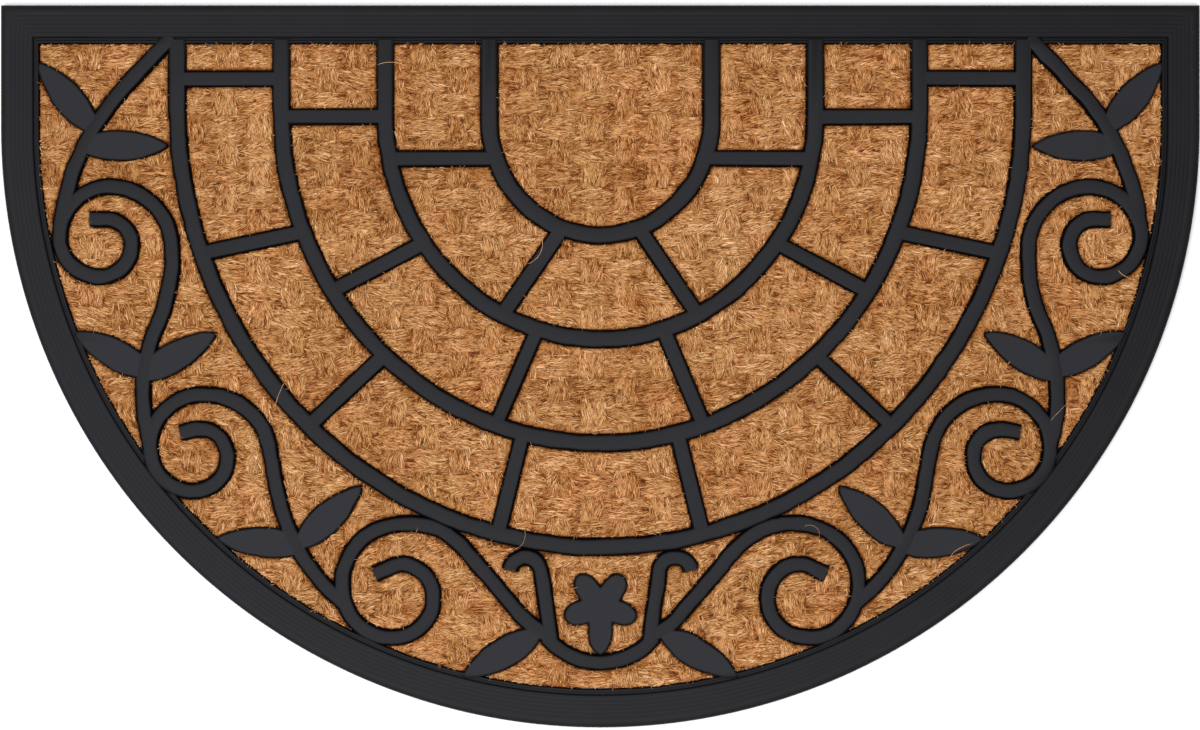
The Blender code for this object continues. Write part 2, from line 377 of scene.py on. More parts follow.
def to_mesh(curve):
    """The curve's solid as a closed mesh object. The curve is removed."""
    name = curve.name
    bpy.context.scene.collection.objects.link(curve)
    graph = bpy.context.evaluated_depsgraph_get()
    mesh = bpy.data.meshes.new_from_object(curve.evaluated_get(graph))
    mesh.transform(curve.matrix_world)
    shape = bmesh.new()
    shape.from_mesh(mesh)
    bmesh.ops.remove_doubles(shape, verts=shape.verts, dist=0.001 * MM)
    bmesh.ops.recalc_face_normals(shape, faces=shape.faces)
    shape.to_mesh(mesh)
    shape.free()
    bpy.data.objects.remove(curve)
    return object_from(name, mesh)


def bar_section(width, layer):
    """A bar's section: upright sides under rounded shoulders and a barely crowned top."""
    half = width / 2
    top = THICKNESS - STEP_DOWN * layer
    right = [(half - inwards, top - down) for inwards, down in SHOULDER]
    left = [(-across, up) for across, up in reversed(right)]
    return [(-half, BAR_BASE), (half, BAR_BASE)] + right + [(0, top)] + left


def swept(name, points, section):
    profile = flat_curve(name + "_section", section, True)
    bpy.context.scene.collection.objects.link(profile)
    path = flat_curve(name, points, False)
    path.data.fill_mode = "NONE"
    path.data.bevel_mode = "OBJECT"
    path.data.bevel_object = profile
    path.data.use_fill_caps = True
    solid = to_mesh(path)
    bpy.data.objects.remove(profile)
    return solid


def raised_plate(name, curve, top):
    """A filled flat outline with softly rounded upper edges."""
    rounding = 1.5
    data = curve.data
    data.fill_mode = "BOTH"
    data.extrude = ((top - BAR_BASE) / 2 - rounding) * MM
    data.bevel_depth = rounding * MM
    data.bevel_resolution = 2
    data.offset = -rounding * MM
    curve.location.z = (top + BAR_BASE) / 2 * MM
    curve.name = name
    return to_mesh(curve)


def rim_section():
    """From the outer foot up, over the ribbed top, through the groove, over the lip and down."""
    points = [(0, 0), (0, 4.6), (0.12, 6.2), (0.5, 7.3), (1.1, 8.1), (1.9, 8.6), (2.9, 8.9), (4.0, 9.0)]
    for rib in range(RIB_COUNT):
        start = RIB_FIRST + RIB_PITCH * rib
        points += [(start - 0.6, 8.99), (start - 0.25, 9.0 - 0.8 * RIB_DEPTH), (start, 9.0 - RIB_DEPTH)]
        points += [(start + 0.25, 9.0 - 0.8 * RIB_DEPTH), (start + 0.6, 8.99)]
    points += [(20.0, 8.95), (20.3, 8.75), (20.5, 8.2), (20.6, 5.6), (22.2, 5.6), (22.3, 7.6)]
    points += [(22.6, 8.15), (23.1, 8.3), (23.5, 8.2), (23.8, 7.8), (24.0, 7.0), (24.0, 0)]
    return points


def make_rim():
    """The rim as rings of the outline, one for each point of its section."""
    section = rim_section()
    rings = [mat_outline(across) for across, up in section]
    count = len(rings[0])
    points = [(x, y, up) for ring, (across, up) in zip(rings, section) for x, y in ring]
    faces = []
    for k in range(len(section)):
        following = (k + 1) % len(section)
        for i in range(count):
            j = (i + 1) % count
            a, b, c, d = k * count + i, k * count + j, following * count + j, following * count + i
            faces += [(a, b, c), (a, c, d)]
    mesh = mesh_of_triangles("rubber_moulding_piece", np.array(points, float), np.array(faces))
    return object_from("moulding", mesh)


def fuse(base, others):
    """One closed mesh of the base and everything raised on it."""
    for other in others:
        boolean = base.modifiers.new("join", "BOOLEAN")
        boolean.operation = "UNION"
        boolean.solver = "MANIFOLD"
        boolean.object = other
    graph = bpy.context.evaluated_depsgraph_get()
    mesh = bpy.data.meshes.new_from_object(base.evaluated_get(graph))
    for old in [base] + others:
        bpy.data.objects.remove(old)
    return mesh


def smooth_but_creased(mesh, angle):
    """Rounded edges shade softly, and level tops stay flat."""
    shape = bmesh.new()
    shape.from_mesh(mesh)
    for face in shape.faces:
        heights = [corner.co.z for corner in face.verts]
        face.smooth = max(heights) - min(heights) > LEVEL_TOLERANCE * MM
    for edge in shape.edges:
        edge.smooth = not (len(edge.link_faces) == 2 and edge.calc_face_angle(0) > angle)
    shape.to_mesh(mesh)
    shape.free()


def make_rubber():
    rim = make_rim()
    raised = []
    for width, layer, paths in bar_kinds():
        section = bar_section(width, layer)
        raised += [swept(f"bar_{layer:.1f}_{i}", path, section) for i, path in enumerate(paths)]
    for piece in [rim] + raised:
        waver_mesh(piece.data)
    top = THICKNESS - STEP_DOWN * 4.5
    for i, outline in enumerate(leaf_outlines() + [flower_outline()]):
        curve = flat_curve(f"plate_{i}", waver_outline(outline), True)
        raised.append(raised_plate(f"plate_{i}", curve, top))
    mesh = fuse(rim, raised)
    mesh.name = "rubber_tracery"
    smooth_but_creased(mesh, math.radians(38))
    shade_rubber(mesh)
    return object_from("rubber_tracery", mesh)


def mesh_points(mesh):
    flat = np.zeros(len(mesh.vertices) * 3, np.float32)
    mesh.vertices.foreach_get("co", flat)
    return flat.reshape(-1, 3).astype(float)


def shade_rubber(mesh):
    """How light the rubber is: darker on its flanks from painted shade, a little lighter on the leaves and the
    flower.
    """
    x, y, z = mesh_points(mesh).T / MM
    ornament = np.zeros(len(x), bool)
    for outline in leaf_outlines():
        ornament |= inside_outline(x, y, waver_outline(outline))
    ornament |= np.hypot(x, y - FLOWER_Y) < FLOWER_REACH + FLOWER_TAIL + 1
    ornament &= z < THICKNESS - STEP_DOWN * 4.5 + 0.01
    inner = depth_inside(x, y)
    rim = np.clip((RIM_WIDTH + 1 - inner) / 1.0, 0, 1)
    # The rim catches less light towards its upper right
    across = np.clip(0.5 + 0.5 * (x / ROUND_RADIUS + y / STRAIGHT_Y) / 1.4, 0, 1)
    tone = np.where(ornament, ORNAMENT_TONE, BAR_TONE)
    tone = tone * (1 - rim) + rim * (RIM_TONES[0] + (RIM_TONES[1] - RIM_TONES[0]) * across)
    # Painted shade: below their tops, the sides of bars, leaves and flower are coloured darker and get less sheen
    painted_flank_shade = np.clip((8.7 - z) / 0.4, 0, 1) * (1 - rim)
    add_values(mesh, "tone", tone * (1 - painted_flank_shade))
    add_values(mesh, "gloss", GLOSS * (1 - 0.8 * painted_flank_shade))


def wavered(x, y):
    """The uneven edges of a moulded piece: everything inside the rim moves a little sideways."""
    share = np.clip((depth_inside(x, y) - 20) / 8, 0, 1) * WARP_SIZE
    across = noise(x, y, 10, 1) + 0.7 * noise(x, y, 4, 2)
    up = noise(x, y, 10, 3) + 0.7 * noise(x, y, 4, 4)
    return x + share * across, y + share * up


def waver_outline(outline):
    x, y = wavered(*np.array(outline, float).T)
    return list(zip(x.tolist(), y.tolist()))


def waver_mesh(mesh):
    points = mesh_points(mesh)
    x, y = wavered(points[:, 0] / MM, points[:, 1] / MM)
    points[:, 0], points[:, 1] = x * MM, y * MM
    mesh.vertices.foreach_set("co", points.astype(np.float32).ravel())
    mesh.update()


# Where the rubber is: a map of the distance to its nearest edge, negative on the rubber

def noise(x, y, cell, seed):
    """Smooth noise between -1 and 1 with features about cell across."""
    values = np.random.default_rng(seed).uniform(-1, 1, (NOISE_TABLE, NOISE_TABLE))
    u, v = x / cell + 5000.3, y / cell + 5000.7
    i, j = np.floor(u).astype(int), np.floor(v).astype(int)
    s, t = u - i, v - j
    s, t = s * s * (3 - 2 * s), t * t * (3 - 2 * t)
    i0, j0, i1, j1 = i % NOISE_TABLE, j % NOISE_TABLE, (i + 1) % NOISE_TABLE, (j + 1) % NOISE_TABLE
    low = values[i0, j0] * (1 - s) + values[i1, j0] * s
    high = values[i0, j1] * (1 - s) + values[i1, j1] * s
    return low * (1 - t) + high * t


def depth_inside(x, y):
    """How far a point lies inside the mat's outline."""
    round_part = ROUND_RADIUS - np.hypot(x, np.minimum(y - ROUND_Y, 0))
    side_part = ROUND_RADIUS - np.abs(x)
    return np.minimum(np.where(y < ROUND_Y, round_part, side_part), STRAIGHT_Y - y)


def segment_distance(x, y, a, b):
    dx, dy = b[0] - a[0], b[1] - a[1]
    along = ((x - a[0]) * dx + (y - a[1]) * dy) / max(dx * dx + dy * dy, 1e-9)
    along = np.clip(along, 0, 1)
    return np.hypot(x - a[0] - along * dx, y - a[1] - along * dy)


def inside_outline(x, y, outline):
    inside = np.zeros(x.shape, bool)
    for a, b in zip(outline, outline[1:] + outline[:1]):
        crosses = (a[1] > y) != (b[1] > y)
        rise = b[1] - a[1] if b[1] != a[1] else 1e-9
        inside ^= crosses & (x < (b[0] - a[0]) * (y - a[1]) / rise + a[0])
    return inside


class RubberMap:
    """Distance to the rubber's edge on a grid."""

    def __init__(self):
        self.xs = np.arange(-WIDTH / 2, WIDTH / 2 + MAP_STEP, MAP_STEP)
        self.ys = np.arange(-DEPTH / 2, DEPTH / 2 + MAP_STEP, MAP_STEP)
        self.gx, self.gy = np.meshgrid(self.xs, self.ys, indexing="ij")
        self.field = np.minimum(depth_inside(self.gx, self.gy) - RIM_WIDTH, MAP_REACH)
        for width, _, paths in bar_kinds():
            for path in paths:
                self.mark(path, width / 2)
        for outline in leaf_outlines() + [flower_outline()]:
            self.fill(outline)

    def window(self, points, reach):
        lows = np.min(points, axis=0) - reach
        highs = np.max(points, axis=0) + reach
        i = np.clip(np.searchsorted(self.xs, (lows[0], highs[0])), 0, len(self.xs))
        j = np.clip(np.searchsorted(self.ys, (lows[1], highs[1])), 0, len(self.ys))
        return (slice(*i), slice(*j))

    def mark(self, path, half):
        """A bar along a path, with square ends."""
        own = np.full(self.field.shape, MAP_REACH)
        for a, b in zip(path, path[1:]):
            part = self.window([a, b], MAP_REACH + half)
            near = segment_distance(self.gx[part], self.gy[part], a, b) - half
            own[part] = np.minimum(own[part], near)
        for end, before in ((path[0], path[1]), (path[-1], path[-2])):
            part = self.window([end], 2 * half)
            x, y = self.gx[part] - end[0], self.gy[part] - end[1]
            length = math.dist(end, before)
            beyond = (x * (end[0] - before[0]) + y * (end[1] - before[1])) / length
            close = np.hypot(x, y) < 1.6 * half
            own[part] = np.where(close, np.maximum(own[part], beyond), own[part])
        self.field = np.minimum(self.field, own)

    def fill(self, outline):
        part = self.window(outline, MAP_REACH)
        x, y = self.gx[part], self.gy[part]
        near = np.full(x.shape, 1e9)
        for a, b in zip(outline, outline[1:] + outline[:1]):
            near = np.minimum(near, segment_distance(x, y, a, b))
        inside = inside_outline(x, y, outline)
        self.field[part] = np.minimum(self.field[part], np.where(inside, -near, near))

    def at(self, x, y):
        u = np.clip((x - self.xs[0]) / MAP_STEP, 0, len(self.xs) - 1.001)
        v = np.clip((y - self.ys[0]) / MAP_STEP, 0, len(self.ys) - 1.001)
        i, j = u.astype(int), v.astype(int)
        s, t = u - i, v - j
        f = self.field
        low = f[i, j] * (1 - s) + f[i + 1, j] * s
        high = f[i, j + 1] * (1 - s) + f[i + 1, j + 1] * s
        return low * (1 - t) + high * t

    def slope(self, x, y):
        h = 0.6 * MAP_STEP
        gx = (self.at(x + h, y) - self.at(x - h, y)) / (2 * h)
        gy = (self.at(x, y + h) - self.at(x, y - h)) / (2 * h)
        size = np.maximum(np.hypot(gx, gy), 1e-3)
        return gx / size, gy / size


# Woven coir

def yarn_pair(across, half):
    """Height of two round yarns lying side by side, falling away outside them."""
    quarter = half / 2
    off = (np.abs(across) - quarter) / quarter
    inside = np.sqrt(np.clip(1 - off**2, 0, 1))
    return np.where(np.abs(off) < 1, inside, -3 * (np.abs(off) - 1))


def weave(x, y):
    """Height of the cloth, 1 where an upright yarn is on top, the yarn's number, and the slant of its fibres."""
    wx = x + 1.6 * noise(x, y, 60, 11) + 1.3 * noise(x, y, 15, 13)
    wy = y + 1.3 * noise(x, y, 60, 12) + 1.1 * noise(x, y, 15, 14)
    col = np.round((wx - COL_X) / COL_PITCH)
    row = np.round((wy - ROW_Y) / ROW_PITCH)
    across = wx - COL_X - col * COL_PITCH
    up = wy - ROW_Y - row * ROW_PITCH
    warp_wave = np.cos(math.pi * ((wy - ROW_Y) / ROW_PITCH + col))
    weft_wave = -np.cos(math.pi * ((wx - COL_X) / COL_PITCH + row))
    prominence = 0.35 * yarn_random(37 * col + row, 17) - 0.1 + 0.4 * noise(x, y, 5, 18)
    warp = CRIMP * warp_wave + CROWN * yarn_pair(across, WARP_HALF) + prominence
    weft = CRIMP * weft_wave + CROWN * yarn_pair(up, WEFT_HALF)
    upright = warp > weft
    number = np.where(upright, 2 * col + (across > 0), 1000 + 2 * row + (up > 0))
    height = np.maximum(warp - 0.5 * prominence, weft)
    height = CLOTH_LEVEL + height + 0.25 * noise(x, y, 2.4, 15) + 0.2 * noise(x, y, 9, 16)
    # A yarn is fullest in the middle of each float, so its fibres draw together at both ends
    along_warp = (wy - ROW_Y) / ROW_PITCH + col
    along_weft = (wx - COL_X) / COL_PITCH + row - 1
    along_warp -= 2 * np.round(along_warp / 2)
    along_weft -= 2 * np.round(along_weft / 2)
    slant = np.where(upright, along_warp * across / WARP_HALF, -along_weft * up / WEFT_HALF)
    return height, upright.astype(float), number, SLANT * np.clip(slant, -1, 1)


def painted_shade(x, y, height):
    """How much painted shade darkens a place: the hollows between yarns, and scattered specks."""
    pit = np.clip((CLOTH_LEVEL + 0.5 - height) / 0.6, 0, 1)
    speck = np.clip((noise(x, y, 2.1, 41) - 0.5) / 0.25, 0, 1)
    return PIT_SHADE * pit + SPECK_SHADE * speck


def yarn_random(number, seed):
    """A steady random value for each yarn, from -1 to 1."""
    values = np.random.default_rng(seed).uniform(-1, 1, 4096)
    return values[number.astype(int) % 4096]


def make_coir_sheet(rubber):
    """The woven sheet: a relief on top, pressed into channels under the bars, and flat below."""
    xs = np.arange(-ROUND_RADIUS + COIR_INSET - SHEET_STEP, ROUND_RADIUS - COIR_INSET + 2 * SHEET_STEP, SHEET_STEP)
    ys = np.arange(-DEPTH / 2 + COIR_INSET - SHEET_STEP, DEPTH / 2 - COIR_INSET + 2 * SHEET_STEP, SHEET_STEP)
    x, y = np.meshgrid(xs, ys, indexing="ij")
    inner = depth_inside(x, y) - COIR_INSET
    field = rubber.at(x, y)
    edge = np.abs(field - GAP) < 0.5 * SHEET_STEP
    gx, gy = rubber.slope(x, y)
    x = np.where(edge, x - (field - GAP) * gx, x)
    y = np.where(edge, y - (field - GAP) * gy, y)
    # Points just outside the sheet are drawn back onto its outline
    h = 0.5
    for _ in range(2):
        inner = depth_inside(x, y) - COIR_INSET
        nx = (depth_inside(x + h, y) - depth_inside(x - h, y)) / (2 * h)
        ny = (depth_inside(x, y + h) - depth_inside(x, y - h)) / (2 * h)
        out = inner < 0
        x = np.where(out, x - inner * nx, x)
        y = np.where(out, y - inner * ny, y)
    keep = depth_inside(*np.meshgrid(xs, ys, indexing="ij")) > COIR_INSET
    cells = keep[:-1, :-1] | keep[1:, :-1] | keep[:-1, 1:] | keep[1:, 1:]
    height, upright, number, _ = weave(x, y)
    field = rubber.at(x, y)
    rise = np.clip((field - GAP) / 2.5, 0, 1)
    height -= EDGE_DIP * (1 - rise) ** 2
    pressed = field < GAP - 0.12
    height = np.where(pressed, CHANNEL, height)
    ids = -np.ones(x.shape, int)
    used = np.zeros(x.shape, bool)
    used[:-1, :-1] |= cells
    used[1:, :-1] |= cells
    used[:-1, 1:] |= cells
    used[1:, 1:] |= cells
    ids[used] = np.arange(used.sum())
    a, b, c, d = ids[:-1, :-1][cells], ids[1:, :-1][cells], ids[1:, 1:][cells], ids[:-1, 1:][cells]
    triangles = np.concatenate([np.stack([a, b, c], 1), np.stack([a, c, d], 1)])
    points = np.stack([x[used], y[used], height[used]], 1)
    mesh = mesh_of_triangles("coir_weave", points, triangles)
    # Each yarn's own tone, plus painted shade: lower parts of the cloth are coloured darker
    tone = 0.5 + 0.1 * yarn_random(number[used], 21) + 0.12 * (height[used] - CLOTH_LEVEL)
    add_values(mesh, "tone", np.clip(tone, 0, 1))
    add_values(mesh, "upright", upright[used])
    shape = bmesh.new()
    shape.from_mesh(mesh)
    border = [edge for edge in shape.edges if len(edge.link_faces) == 1]
    made = bmesh.ops.extrude_edge_only(shape, edges=border)["geom"]
    low = [v for v in made if isinstance(v, bmesh.types.BMVert)]
    for vert in low:
        vert.co.z = 0
    rim = [edge for edge in made if isinstance(edge, bmesh.types.BMEdge)]
    rim = [edge for edge in rim if all(abs(v.co.z) < 1e-9 for v in edge.verts)]
    bmesh.ops.contextual_create(shape, geom=rim)
    bmesh.ops.recalc_face_normals(shape, faces=shape.faces)
    shape.to_mesh(mesh)
    shape.free()
    return object_from("coir_weave", mesh)


def spindles(name, stations, radius, tone, hue, upright):
    """Fibres as closed pointed rods. stations is (count, rings + 2, 3), tone (count, rings + 2)."""
    count, rows, _ = stations.shape
    rings = rows - 2
    rise = np.array([0, 0, 1.0])
    size = radius[:, None]
    block = [stations[:, 0]]
    shades = [tone[:, 0] - END_SHADE]
    for k in range(1, rings + 1):
        along = stations[:, k + 1, :2] - stations[:, k - 1, :2]
        along /= np.maximum(np.linalg.norm(along, axis=1, keepdims=True), 1e-9)
        side = np.stack([-along[:, 1], along[:, 0], np.zeros(count)], 1)
        middle = stations[:, k]
        block += [middle + side * size, middle + rise * size * 1.1, middle - side * size]
        shades += [tone[:, k] - FLANK_SHADE, tone[:, k], tone[:, k] - FLANK_SHADE]
    block.append(stations[:, -1])
    shades.append(tone[:, -1] - END_SHADE)
    per = len(block)
    points = np.stack(block, 1).reshape(-1, 3)
    last = per - 1
    local = [(0, 2, 1), (0, 3, 2), (0, 1, 3)]
    for k in range(rings - 1):
        p, q = 1 + 3 * k, 4 + 3 * k
        for m in range(3):
            n = (m + 1) % 3
            local += [(p + m, p + n, q + n), (p + m, q + n, q + m)]
    e = 1 + 3 * (rings - 1)
    local += [(last, e, e + 1), (last, e + 1, e + 2), (last, e + 2, e)]
    triangles = (np.arange(count)[:, None, None] * per + np.array(local)[None]).reshape(-1, 3)
    mesh = mesh_of_triangles(name, points, triangles)
    add_values(mesh, "tone", np.clip(np.stack(shades, 1), 0, 1).ravel())
    add_values(mesh, "hue", np.repeat(hue, per))
    add_values(mesh, "upright", np.repeat(upright, per))
    return object_from(name, mesh)


def scatter(rng, rubber, count, clear, within=MAP_REACH):
    """Random places on the coir, at least clear away from the rubber and at most within."""
    found = np.zeros((0, 2))
    reach = ROUND_RADIUS - RIM_WIDTH
    while len(found) < count:
        tries = np.stack([
            rng.uniform(-reach, reach, count),
            rng.uniform(-DEPTH / 2 + RIM_WIDTH, DEPTH / 2 - RIM_WIDTH, count),
        ], 1)
        away = rubber.at(tries[:, 0], tries[:, 1])
        found = np.concatenate([found, tries[(away > clear) & (away <= within)]])
    return found[:count]


def make_fuzz(rubber):
    """Short pale fibres that stand up beside the rubber and reach a little way over its edge."""
    rng = np.random.default_rng(34)
    place = scatter(rng, rubber, FUZZ_COUNT, 0.4, 2.2)
    px, py = place.T
    away_x, away_y = rubber.slope(px, py)
    heading = np.arctan2(-away_y, -away_x) + rng.uniform(-1.2, 1.2, FUZZ_COUNT)
    length = rng.uniform(2.0, 4.2, FUZZ_COUNT)
    steps = np.array([-0.3, 0.0, 0.35, 0.7]) * length[:, None]
    x = px[:, None] + np.cos(heading)[:, None] * steps
    y = py[:, None] + np.sin(heading)[:, None] * steps
    inwards = np.clip(-rubber.at(x, y), 0, 3)
    z = np.array([7.2, 8.0, 8.7, 8.9]) + 0.25 * np.minimum(inwards, 1)
    stations = np.stack([x, y, np.minimum(z, THICKNESS + 0.3)], 2)
    tone = np.tile((0.5 + 0.1 * rng.normal(size=FUZZ_COUNT))[:, None], 4)
    hue = rng.uniform(0.3, 0.7, FUZZ_COUNT)
    radius = rng.uniform(0.1, 0.19, FUZZ_COUNT)
    return spindles("coir_edge_fuzz", stations, radius, tone, hue, np.zeros(FUZZ_COUNT))


def make_hairs(rubber):
    """A few long loose hairs lying across the mat."""
    rng = np.random.default_rng(35)
    place = scatter(rng, rubber, HAIR_COUNT, 0.3)
    rows = HAIR_RINGS + 2
    step = rng.uniform(9, 26, HAIR_COUNT) / (rows - 1)
    heading = rng.uniform(0, 2 * math.pi, HAIR_COUNT)
    turn = np.radians(rng.normal(0, 9, HAIR_COUNT))
    x, y = [place[:, 0]], [place[:, 1]]
    for _ in range(rows - 1):
        heading = heading + turn + np.radians(rng.normal(0, 4, HAIR_COUNT))
        x.append(x[-1] + step * np.cos(heading))
        y.append(y[-1] + step * np.sin(heading))
    x, y = np.stack(x, 1), np.stack(y, 1)
    lying = np.where(rubber.at(x, y) < 1.5, THICKNESS + 0.02, weave(x, y)[0] + 0.9)
    z = np.maximum(lying, np.minimum(weave(x, y)[0] + 0.9, THICKNESS + 0.3))
    kept = depth_inside(x, y).min(1) > 12
    tone = np.tile(rng.uniform(0.7, 1.0, HAIR_COUNT)[:, None], rows)
    radius = rng.uniform(0.1, 0.17, HAIR_COUNT)
    hue = rng.uniform(0.5, 1.0, HAIR_COUNT)
    stations = np.stack([x, y, z], 2)
    return spindles("coir_hairs", stations[kept], radius[kept], tone[kept], hue[kept], np.zeros(kept.sum()))


def make_fibres(rubber, name, seed, count, rings, lengths, radii, spread, lift, clear):
    """A layer of fibres that follow the yarn they lie on."""
    rng = np.random.default_rng(seed)
    place = scatter(rng, rubber, count, clear)
    px, py = place.T
    height, upright, number, slant = weave(px, py)
    twist = TWIST * np.sign(yarn_random(number, 22) + 0.4) + TWIST_SPREAD * yarn_random(number, 29)
    lean = slant + np.radians(twist + spread * rng.normal(size=count))
    heading = np.where(upright > 0.5, math.pi / 2, 0) + lean + 0.2 * noise(px, py, 8, 26)
    length = rng.uniform(*lengths, count) * np.where(upright > 0.5, 0.85, 1.0)
    radius = rng.uniform(*radii, count)
    share = np.linspace(-0.5, 0.5, rings + 2)
    steps = share * length[:, None]
    aside = rng.normal(size=(count, 1)) * CURL * length[:, None] * (1 - 8 * share**2)
    cos, sin = np.cos(heading)[:, None], np.sin(heading)[:, None]
    x = px[:, None] + cos * steps - sin * aside
    y = py[:, None] + sin * steps + cos * aside
    # A fibre that would run onto the rubber is drawn back to its own middle
    over = rubber.at(x, y) < 0.1
    pull = np.where(over.any(1), 0.35, 1.0)[:, None]
    x = px[:, None] + (x - px[:, None]) * pull
    y = py[:, None] + (y - py[:, None]) * pull
    under = weave(x, y)[0]
    # Painted shade of the hollows and specks along each fibre
    darker = painted_shade(x, y, under)
    near = rubber.at(x, y)
    under -= EDGE_DIP * (1 - np.clip((near - GAP) / 2.5, 0, 1)) ** 2
    offset = np.where(np.abs(share) < 0.5, rng.uniform(*lift, count)[:, None], -SINK)
    z = under + offset
    # The middle of a fibre bridges small dips instead of diving through them
    z[:, 1:-1] = np.maximum(z[:, 1:-1], (height + offset[:, 1])[:, None] - 0.5)
    stations = np.stack([x, y, np.minimum(z, THICKNESS + 0.3)], 2)
    streak = np.where(upright > 0.5, noise(px * 4, py, 6, 27), noise(px, py * 4, 6, 27))
    tone = TONE + 0.06 * yarn_random(number, 21) + TONE_SPREAD * rng.normal(size=count) + 0.12 * streak
    # Painted shade: fibres lower on the cloth are darker, and the noise terms are the coir's own patchy tone
    tone += 0.08 * (height - CLOTH_LEVEL - 0.9) + 0.06 * noise(px, py, 40, 23) + 0.05 * noise(px, py, 13, 24)
    tone = tone[:, None] - darker
    hue = 0.5 + 0.15 * rng.normal(size=count) + 0.3 * noise(px, py, 30, 25) + 0.25 * noise(px, py, 11, 28)
    return spindles(name, stations, radius, tone, np.clip(hue, 0, 1), upright)


# Materials

def new_material(name):
    made = bpy.data.materials.new(name)
    made.use_nodes = True
    return made, made.node_tree.nodes, made.node_tree.links


def node(nodes, kind, **settings):
    made = nodes.new(kind)
    for key, value in settings.items():
        setattr(made, key, value)
    return made


def ramp(nodes, stops):
    made = nodes.new("ShaderNodeValToRGB")
    while len(made.color_ramp.elements) < len(stops):
        made.color_ramp.elements.new(0.5)
    for element, (place, color) in zip(made.color_ramp.elements, stops):
        element.position = place
        element.color = (*color, 1)
    return made


COIR_STOPS = (
    (0.0, (0.115, 0.026, 0.0005)),
    (0.25, (0.275, 0.091, 0.013)),
    (0.5, (0.458, 0.222, 0.076)),
    (0.75, (0.62, 0.350, 0.166)),
    (1.0, (0.80, 0.52, 0.31)),
)


def streaks(nodes, links, place, scale):
    """Noise drawn out along one axis, for the strands of a yarn."""
    stretched = node(nodes, "ShaderNodeMapping")
    stretched.inputs["Scale"].default_value = scale
    links.new(place.outputs["Object"], stretched.inputs["Vector"])
    made = node(nodes, "ShaderNodeTexNoise")
    made.inputs["Scale"].default_value = 600
    made.inputs["Detail"].default_value = 1
    links.new(stretched.outputs["Vector"], made.inputs["Vector"])
    return made.outputs["Fac"]


def coir_material(name, painted_ground_shade):
    made, nodes, links = new_material(name)
    shader = nodes["Principled BSDF"]
    tone = node(nodes, "ShaderNodeAttribute", attribute_name="tone")
    upright = node(nodes, "ShaderNodeAttribute", attribute_name="upright")
    place = node(nodes, "ShaderNodeTexCoord")
    strands = node(nodes, "ShaderNodeMapRange")
    links.new(upright.outputs["Fac"], strands.inputs["Value"])
    links.new(streaks(nodes, links, place, (0.3, 1, 1)), strands.inputs["To Min"])
    links.new(streaks(nodes, links, place, (1, 0.3, 1)), strands.inputs["To Max"])
    mixed = node(nodes, "ShaderNodeMath", operation="MULTIPLY_ADD")
    links.new(strands.outputs["Result"], mixed.inputs[0])
    mixed.inputs[1].default_value = 0.4
    # The ground sheet under the fibres is painted darker here, as shade
    mixed.inputs[2].default_value = -0.2 - painted_ground_shade
    total = node(nodes, "ShaderNodeMath", operation="ADD")
    links.new(tone.outputs["Fac"], total.inputs[0])
    links.new(mixed.outputs[0], total.inputs[1])
    # Painted shade: small dark hollows between the strands
    hollow_shade = node(nodes, "ShaderNodeMapRange")
    hollow_shade.inputs["From Min"].default_value = 0.41
    hollow_shade.inputs["From Max"].default_value = 0.30
    hollow_shade.inputs["To Max"].default_value = 0.27
    links.new(strands.outputs["Result"], hollow_shade.inputs["Value"])
    less = node(nodes, "ShaderNodeMath", operation="SUBTRACT")
    links.new(total.outputs[0], less.inputs[0])
    links.new(hollow_shade.outputs["Result"], less.inputs[1])
    colors = ramp(nodes, COIR_STOPS)
    links.new(less.outputs[0], colors.inputs["Fac"])
    links.new(colors.outputs["Color"], shader.inputs["Base Color"])
    shader.inputs["Roughness"].default_value = 0.72
    shader.inputs["Specular IOR Level"].default_value = 0.28
    return made


def fibre_material():
    made = coir_material("coir_fibre", 0.0)
    nodes, links = made.node_tree.nodes, made.node_tree.links
    shader = nodes["Principled BSDF"]
    base = shader.inputs["Base Color"].links[0].from_socket
    hue = node(nodes, "ShaderNodeAttribute", attribute_name="hue")
    tint = ramp(nodes, ((0.0, (1.04, 0.90, 0.80)), (0.5, (1.0, 1.0, 1.0)), (1.0, (0.99, 1.06, 1.02))))
    links.new(hue.outputs["Fac"], tint.inputs["Fac"])
    blend = node(nodes, "ShaderNodeMix", data_type="RGBA", blend_type="MULTIPLY")
    blend.inputs["Factor"].default_value = 1.0
    links.new(base, blend.inputs[6])
    links.new(tint.outputs["Color"], blend.inputs[7])
    links.new(blend.outputs[2], shader.inputs["Base Color"])
    return made


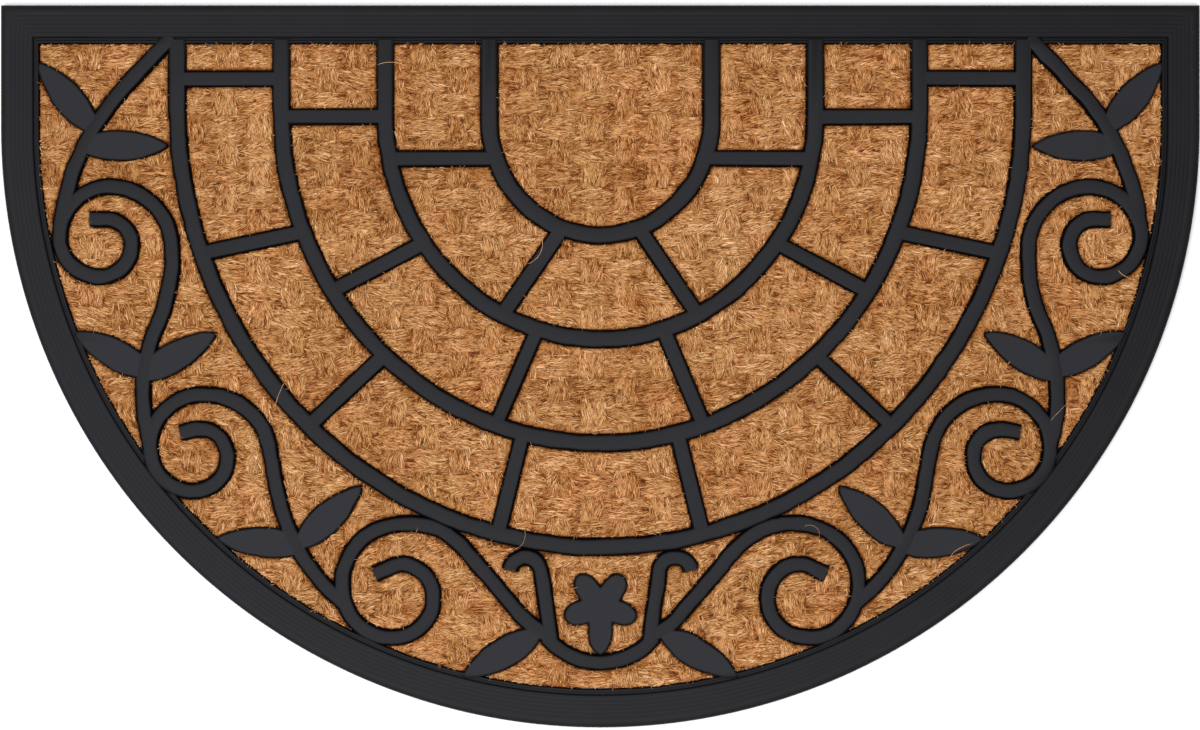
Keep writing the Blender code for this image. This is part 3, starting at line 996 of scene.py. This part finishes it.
def rubber_material():
    made, nodes, links = new_material("rubber_moulded")
    shader = nodes["Principled BSDF"]
    place = node(nodes, "ShaderNodeTexCoord")
    clouds = node(nodes, "ShaderNodeTexNoise")
    clouds.inputs["Scale"].default_value = 22
    clouds.inputs["Detail"].default_value = 5
    links.new(place.outputs["Object"], clouds.inputs["Vector"])
    tone = node(nodes, "ShaderNodeAttribute", attribute_name="tone")
    cloudy = node(nodes, "ShaderNodeMath", operation="MULTIPLY_ADD")
    links.new(clouds.outputs["Fac"], cloudy.inputs[0])
    cloudy.inputs[1].default_value = 0.3
    cloudy.inputs[2].default_value = -0.15
    total = node(nodes, "ShaderNodeMath", operation="ADD")
    links.new(tone.outputs["Fac"], total.inputs[0])
    links.new(cloudy.outputs[0], total.inputs[1])
    colors = ramp(nodes, ((0.0, (0.0018, 0.0018, 0.0022)), (1.0, (0.0265, 0.0275, 0.0345))))
    links.new(total.outputs[0], colors.inputs["Fac"])
    links.new(colors.outputs["Color"], shader.inputs["Base Color"])
    gloss = node(nodes, "ShaderNodeMapRange")
    gloss.inputs["To Min"].default_value = 0.46
    gloss.inputs["To Max"].default_value = 0.62
    links.new(clouds.outputs["Fac"], gloss.inputs["Value"])
    links.new(gloss.outputs["Result"], shader.inputs["Roughness"])
    sheen = node(nodes, "ShaderNodeAttribute", attribute_name="gloss")
    links.new(sheen.outputs["Fac"], shader.inputs["Specular IOR Level"])
    grain = node(nodes, "ShaderNodeTexNoise")
    grain.inputs["Scale"].default_value = 1400
    grain.inputs["Detail"].default_value = 2
    links.new(place.outputs["Object"], grain.inputs["Vector"])
    bump = node(nodes, "ShaderNodeBump")
    bump.inputs["Strength"].default_value = 0.25
    bump.inputs["Distance"].default_value = 0.0002
    links.new(grain.outputs["Fac"], bump.inputs["Height"])
    links.new(bump.outputs["Normal"], shader.inputs["Normal"])
    return made


def floor_material():
    made, nodes, _ = new_material("floor")
    shader = nodes["Principled BSDF"]
    shader.inputs["Base Color"].default_value = (0.90, 0.90, 0.90, 1)
    shader.inputs["Roughness"].default_value = 0.9
    shader.inputs["Specular IOR Level"].default_value = 0.1
    return made


# The scene

def make_floor():
    mesh = bpy.data.meshes.new("floor")
    size = 3.0
    z = -0.0003
    mesh.from_pydata([(-size, -size, z), (size, -size, z), (size, size, z), (-size, size, z)], [], [(0, 1, 2, 3)])
    floor = object_from("floor", mesh)
    mesh.materials.append(floor_material())


def make_light(name, place, size, power):
    data = bpy.data.lights.new(name, "AREA")
    data.shape = "SQUARE"
    data.size = size
    data.energy = power
    light = bpy.data.objects.new(name, data)
    light.location = place
    bpy.context.scene.collection.objects.link(light)
    direction = -light.location
    light.rotation_euler = direction.to_track_quat("-Z", "Y").to_euler()


def make_lights():
    """A broad soft light from the lower left, and a sky that darkens towards the horizon."""
    make_light("overhead", (-0.4, -0.45, 2.6), 2.2, 77)
    world = bpy.data.worlds.new("studio")
    world.use_nodes = True
    nodes, links = world.node_tree.nodes, world.node_tree.links
    place = node(nodes, "ShaderNodeTexCoord")
    split = node(nodes, "ShaderNodeSeparateXYZ")
    links.new(place.outputs["Generated"], split.inputs[0])
    sky = ramp(nodes, ((0.0, (0.18, 0.18, 0.18)), (0.35, (0.45, 0.45, 0.45)), (0.8, (0.72, 0.72, 0.72))))
    links.new(split.outputs["Z"], sky.inputs["Fac"])
    links.new(sky.outputs["Color"], nodes["Background"].inputs["Color"])
    bpy.context.scene.world = world


def make_camera():
    data = bpy.data.cameras.new("camera")
    data.sensor_width = 36
    data.lens = 100
    data.clip_end = 20
    camera = bpy.data.objects.new("camera", data)
    bpy.context.scene.collection.objects.link(camera)
    distance = WIDTH * MM * data.lens / data.sensor_width
    camera.location = (-0.0002, 0.0009, distance + 0.008)
    bpy.context.scene.camera = camera


def main():
    bpy.context.scene.view_settings.view_transform = "Standard"
    rubber_piece = make_rubber()
    rubber_piece.data.materials.clear()
    rubber_piece.data.materials.append(rubber_material())
    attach(rubber_piece, "root")
    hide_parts("rubber_moulding")

    rubber = RubberMap()
    sheet = make_coir_sheet(rubber)
    # The ground sheet is painted darker, as shade under the fibres
    sheet.data.materials.append(coir_material("coir_ground", 0.24))
    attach(sheet, "root")
    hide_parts("coir_panel")

    fibre = fibre_material()
    layers = [make_fibres(rubber, *row) for row in FIBRE_LAYERS]
    layers += [make_fuzz(rubber), make_hairs(rubber)]
    for layer in layers:
        layer.data.materials.append(fibre)
        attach(layer, "root")
    make_floor()
    make_lights()
    make_camera()


main()
